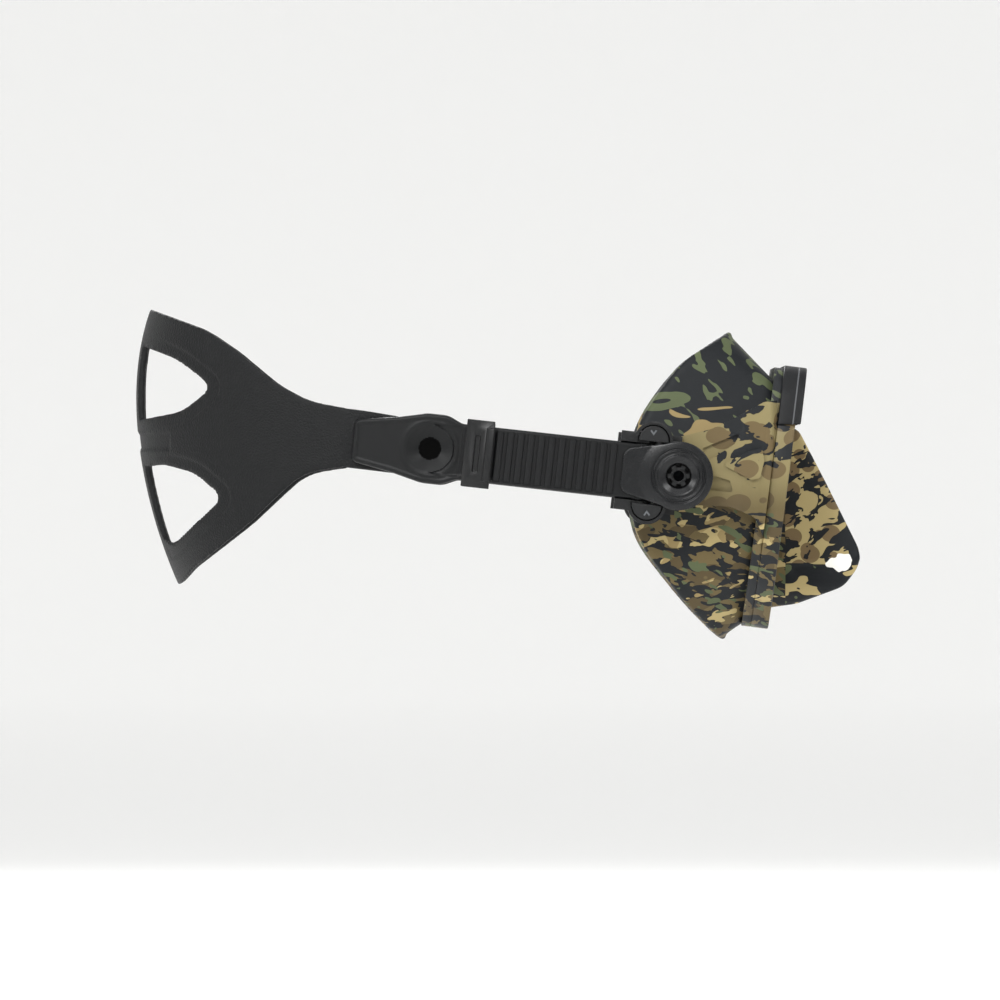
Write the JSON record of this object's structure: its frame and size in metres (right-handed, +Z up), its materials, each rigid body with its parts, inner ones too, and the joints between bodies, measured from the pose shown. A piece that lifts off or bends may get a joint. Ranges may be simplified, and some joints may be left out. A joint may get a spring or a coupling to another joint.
{
  "type": "diving mask",
  "caption": "Low-volume twin-lens diving mask with a camouflage skirt and frame, swivelling quick-release strap buckles and a split rear headband.",
  "frame": {"origin": "midway between the two buckle pivots, on their common axis, at the middle of the wearer's face", "axes": "+X towards the wearer's left, +Y towards the back of the head, so the lenses look along -Y, and +Z up"},
  "size_m": [0.1746, 0.247, 0.1121],
  "materials": {
    "skirt": "matte moulded silicone with a printed camouflage of black, sand, khaki and olive patches",
    "frame": "satin moulded plastic with the same camouflage in larger patches",
    "brow": "matte black moulded plastic",
    "lens": "clear tempered flat glass with bevelled edges",
    "pin": "matte black acetal",
    "washer": "dark low-friction plastic",
    "buckle": "satin black moulded nylon",
    "cover": "satin black moulded nylon, slightly polished on the rings",
    "roller": "black acetal",
    "steel": "bright stainless steel wire and rod",
    "button": "satin black moulded nylon with a raised arrow",
    "band": "black silicone with a fine leather-like grain",
    "strap": "black silicone with moulded cross ribs and a smooth thumb tab",
    "keeper": "satin black moulded nylon"
  },
  "bodies": {
    "mask": {"main_frame": "frame", "front_bezel": "frame", "brow_cover": "brow", "left_lens": "lens", "right_lens": "lens", "face_skirt": "skirt", "swivel_pin_left": "pin", "swivel_pin_right": "pin", "swivel_washer_left": "washer", "swivel_washer_right": "washer"},
    "headband": {"headband": "band"},
    "buckle_right": {"buckle_base_right": "buckle", "buckle_cover_right": "cover", "roller_axle_right": "steel", "button_spring_upper_right": "steel", "button_spring_lower_right": "steel", "side_strap_right": "band", "strap_tail_right": "strap"},
    "roller_right": {"strap_roller_right": "roller", "ratchet_wheels_right": "roller"},
    "keeper_right": {"strap_keeper_right": "keeper"},
    "button_upper_right": {"release_button_upper_right": "button"},
    "button_lower_right": {"release_button_lower_right": "button"},
    "buckle_left": {"buckle_base_left": "buckle", "buckle_cover_left": "cover", "roller_axle_left": "steel", "button_spring_upper_left": "steel", "button_spring_lower_left": "steel", "side_strap_left": "band", "strap_tail_left": "strap"},
    "roller_left": {"strap_roller_left": "roller", "ratchet_wheels_left": "roller"},
    "keeper_left": {"strap_keeper_left": "keeper"},
    "button_upper_left": {"release_button_upper_left": "button"},
    "button_lower_left": {"release_button_lower_left": "button"}
  },
  "joints": [
    {"name": "buckle_swivel_right", "type": "hinge", "parent": "mask", "child": "buckle_right", "pos_m": [-0.0745, 0, 0], "axis": [1, 0, 0], "range_deg": [-35, 35]},
    {"name": "roller_turn_right", "type": "hinge", "parent": "buckle_right", "child": "roller_right", "pos_m": [-0.079, 0.01392, 0.00154], "axis": [0, -0.1097, 0.994], "continuous": true},
    {"name": "button_press_upper_right", "type": "slide", "parent": "buckle_right", "child": "button_upper_right", "axis": [0, 0.1097, -0.994], "range_m": [0, 0.0008], "stiffness_N_per_m": 800, "springref_m": -0.0015, "deforming": ["button_spring_upper_right"]},
    {"name": "button_press_lower_right", "type": "slide", "parent": "buckle_right", "child": "button_lower_right", "axis": [0, -0.1097, 0.994], "range_m": [0, 0.0008], "stiffness_N_per_m": 800, "springref_m": -0.0015, "deforming": ["button_spring_lower_right"]},
    {"name": "keeper_slide_right", "type": "slide", "parent": "buckle_right", "child": "keeper_right", "axis": [0, 0.994, 0.1097], "range_m": [-0.008, 0.0005]},
    {"name": "buckle_swivel_left", "type": "hinge", "parent": "mask", "child": "buckle_left", "pos_m": [0.0745, 0, 0], "axis": [1, 0, 0], "range_deg": [-35, 35]},
    {"name": "roller_turn_left", "type": "hinge", "parent": "buckle_left", "child": "roller_left", "pos_m": [0.079, 0.01392, 0.00154], "axis": [0, -0.1097, 0.994], "continuous": true},
    {"name": "button_press_upper_left", "type": "slide", "parent": "buckle_left", "child": "button_upper_left", "axis": [0, 0.1097, -0.994], "range_m": [0, 0.0008], "stiffness_N_per_m": 800, "springref_m": -0.0015, "deforming": ["button_spring_upper_left"]},
    {"name": "button_press_lower_left", "type": "slide", "parent": "buckle_left", "child": "button_lower_left", "axis": [0, -0.1097, 0.994], "range_m": [0, 0.0008], "stiffness_N_per_m": 800, "springref_m": -0.0015, "deforming": ["button_spring_lower_left"]},
    {"name": "keeper_slide_left", "type": "slide", "parent": "buckle_left", "child": "keeper_left", "axis": [0, 0.994, 0.1097], "range_m": [-0.008, 0.0005]},
    {"name": "strap_stretch", "type": "slide", "parent": "buckle_right", "child": "headband", "axis": [0, 0.994, 0.1097], "range_m": [0, 0.02], "stiffness_N_per_m": 400, "deforming": ["side_strap_right", "side_strap_left"]}
  ],
  "couplings": [
    {"joint": "buckle_swivel_left", "follows": "buckle_swivel_right", "ratio": 1}
  ]
}
